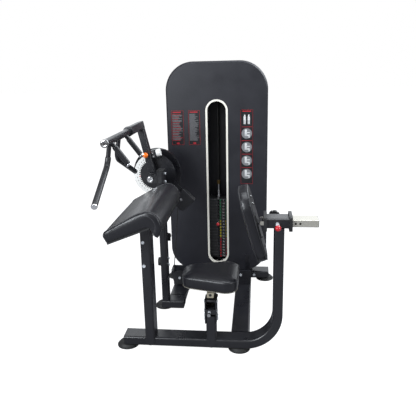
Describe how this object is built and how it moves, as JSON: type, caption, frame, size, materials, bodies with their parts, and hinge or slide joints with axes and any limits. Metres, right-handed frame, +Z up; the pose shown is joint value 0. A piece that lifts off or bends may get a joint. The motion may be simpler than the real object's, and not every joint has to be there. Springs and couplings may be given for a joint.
{
  "type": "biceps triceps machine",
  "caption": "Seated arm curl and extension machine: bent tube frame, sloping arm pad, adjustable seat and back pad, swing arm with turning handles and a shrouded weight stack tower.",
  "frame": {"origin": "floor point under the middle of the machine's box", "axes": "+Z up, +Y towards the weight tower, +X towards the back pad, away from the arm pad"},
  "size_m": [1.062, 1.4636, 1.5],
  "materials": {
    "frame_paint": "satin textured black powder coat",
    "shroud_paint": "charcoal satin powder coat",
    "rubber": "matte black rubber",
    "cap_plastic": "matte black plastic",
    "leather": "black upholstery with grey piping",
    "board": "black stained plywood",
    "steel": "polished chrome",
    "zinc": "pale zinc plate",
    "trim": "white moulded trim",
    "placard": "bare grey plate",
    "plates": "black weight plates",
    "foam": "black foam grip",
    "cable": "black coated cable",
    "pulley": "black nylon",
    "bumper_white": "white rubber",
    "red_knob": "red knob on a chrome pin",
    "orange_knob": "orange ball on a chrome pin"
  },
  "bodies": {
    "frame": {"front_base_frame": "frame_paint", "right_base_tube": "frame_paint", "left_base_tube": "frame_paint", "rear_base_frame": "frame_paint", "rubber_feet": "rubber", "tube_caps": "cap_plastic", "arm_pad_post": "frame_paint", "seat_post": "frame_paint", "axle_housing": "frame_paint", "lever_post": "frame_paint", "post_bumpers": "rubber", "tower_frame": "frame_paint", "pulley_brackets": "frame_paint", "front_shroud": "shroud_paint", "rear_shroud": "shroud_paint", "window_trim": "trim", "info_plates": "placard", "guide_rods": "steel", "stack_bumpers": "rubber", "resting_plates": "plates", "arm_pad": "leather", "arm_pad_board": "board", "adjuster_sleeve": "frame_paint", "sleeve_rings": "cap_plastic", "drive_cable": "cable", "frame_bolts": "steel"},
    "wheel": {"cam_wheel": "frame_paint", "axle": "steel", "dial_plate": "frame_paint", "weight_lever": "frame_paint", "counterweight": "frame_paint"},
    "arm": {"swing_arm": "frame_paint", "arm_stop": "bumper_white", "crossbar": "steel"},
    "front_handle": {"front_handle": "steel", "front_grips": "foam"},
    "rear_handle": {"rear_handle": "steel", "rear_grips": "foam"},
    "start_pin": {"start_pin": "orange_knob"},
    "stack": {"lifted_plates": "plates", "top_plate": "plates", "selector_spine": "steel", "cable_drop": "cable"},
    "selector_pin": {"selector_pin": "red_knob"},
    "base_pulley": {"base_pulley": "pulley"},
    "floor_pulley": {"floor_pulley": "pulley"},
    "rear_pulley": {"rear_pulley": "pulley"},
    "top_pulley": {"top_pulley": "pulley"},
    "lower_links": {"seat_lower_links": "zinc"},
    "upper_links": {"seat_upper_links": "zinc"},
    "seat": {"seat_carriage": "zinc", "seat_board": "board", "seat_cushion": "leather"},
    "seat_lock": {"seat_lock": "steel"},
    "back_slide": {"back_bar": "steel"},
    "back_pad": {"pivot_hanger": "zinc", "back_board": "board", "back_cushion": "leather"},
    "pull_pin": {"pull_pin": "red_knob"},
    "clamp_knob": {"clamp_knob": "cap_plastic"}
  },
  "joints": [
    {"name": "wheel_turn", "type": "hinge", "parent": "frame", "child": "wheel", "pos_m": [-0.388, 0.32, 0.841], "axis": [0, -1, 0], "range_deg": [0, 50]},
    {"name": "arm_start", "type": "hinge", "parent": "wheel", "child": "arm", "pos_m": [-0.388, 0.2, 0.841], "axis": [0, -1, 0], "range_deg": [0, 30]},
    {"name": "front_handle_turn", "type": "hinge", "parent": "arm", "child": "front_handle", "pos_m": [-0.45615, -0.4, 1.14096], "axis": [0, -1, 0], "range_deg": [-5, 15]},
    {"name": "rear_handle_turn", "type": "hinge", "parent": "arm", "child": "rear_handle", "pos_m": [-0.45615, -0.19, 1.14096], "axis": [0, -1, 0], "range_deg": [-5, 15]},
    {"name": "start_pin_slide", "type": "slide", "parent": "arm", "child": "start_pin", "axis": [0, 1, 0], "range_m": [0, 0.007]},
    {"name": "stack_lift", "type": "slide", "parent": "frame", "child": "stack", "axis": [0, 0, 1], "range_m": [0, 0.125], "deforming": ["cable_drop"]},
    {"name": "selector_pin_slide", "type": "slide", "parent": "stack", "child": "selector_pin", "axis": [0, -1, 0], "range_m": [0, 0.072]},
    {"name": "base_pulley_turn", "type": "hinge", "parent": "frame", "child": "base_pulley", "pos_m": [-0.271, 0.32, 0.129], "axis": [0, 1, 0], "range_deg": [0, 175]},
    {"name": "floor_pulley_turn", "type": "hinge", "parent": "frame", "child": "floor_pulley", "pos_m": [-0.069, 0.361, 0.088], "axis": [0, 0, -1], "range_deg": [0, 175]},
    {"name": "rear_pulley_turn", "type": "hinge", "parent": "frame", "child": "rear_pulley", "pos_m": [-0.028, 0.661, 0.129], "axis": [-1, 0, 0], "range_deg": [0, 175]},
    {"name": "top_pulley_turn", "type": "hinge", "parent": "frame", "child": "top_pulley", "pos_m": [-0.028, 0.661, 1.325], "axis": [-1, 0, 0], "range_deg": [0, 175]},
    {"name": "seat_height", "type": "hinge", "parent": "frame", "child": "lower_links", "pos_m": [-0.006, -0.338, 0.236], "axis": [1, 0, 0], "range_deg": [-10, 20]},
    {"name": "upper_link_turn", "type": "hinge", "parent": "frame", "child": "upper_links", "pos_m": [-0.006, -0.338, 0.29], "axis": [1, 0, 0], "range_deg": [-10, 20]},
    {"name": "seat_level", "type": "hinge", "parent": "lower_links", "child": "seat", "pos_m": [-0.006, -0.23463, 0.27362], "axis": [1, 0, 0], "range_deg": [-20, 10]},
    {"name": "seat_lock_slide", "type": "slide", "parent": "frame", "child": "seat_lock", "axis": [0, 1, 0], "range_m": [0, 0.007]},
    {"name": "back_slide", "type": "slide", "parent": "frame", "child": "back_slide", "axis": [1, 0, 0], "range_m": [-0.11, 0]},
    {"name": "back_tilt", "type": "hinge", "parent": "back_slide", "child": "back_pad", "pos_m": [0.253, -0.305, 0.718], "axis": [0, 1, 0], "range_deg": [-5, 5]},
    {"name": "pull_pin_slide", "type": "slide", "parent": "frame", "child": "pull_pin", "axis": [0, 1, 0], "range_m": [0, 0.005]},
    {"name": "clamp_knob_turn", "type": "hinge", "parent": "frame", "child": "clamp_knob", "pos_m": [0.317, -0.23, 0.718], "axis": [0, 1, 0], "continuous": true}
  ],
  "couplings": [
    {"joint": "stack_lift", "follows": "wheel_turn", "m_per_rad": 0.143},
    {"joint": "base_pulley_turn", "follows": "wheel_turn", "ratio": 3.4878},
    {"joint": "floor_pulley_turn", "follows": "wheel_turn", "ratio": 3.4878},
    {"joint": "rear_pulley_turn", "follows": "wheel_turn", "ratio": 3.4878},
    {"joint": "top_pulley_turn", "follows": "wheel_turn", "ratio": 3.4878},
    {"joint": "upper_link_turn", "follows": "seat_height", "ratio": 1},
    {"joint": "seat_level", "follows": "seat_height", "ratio": -1}
  ]
}
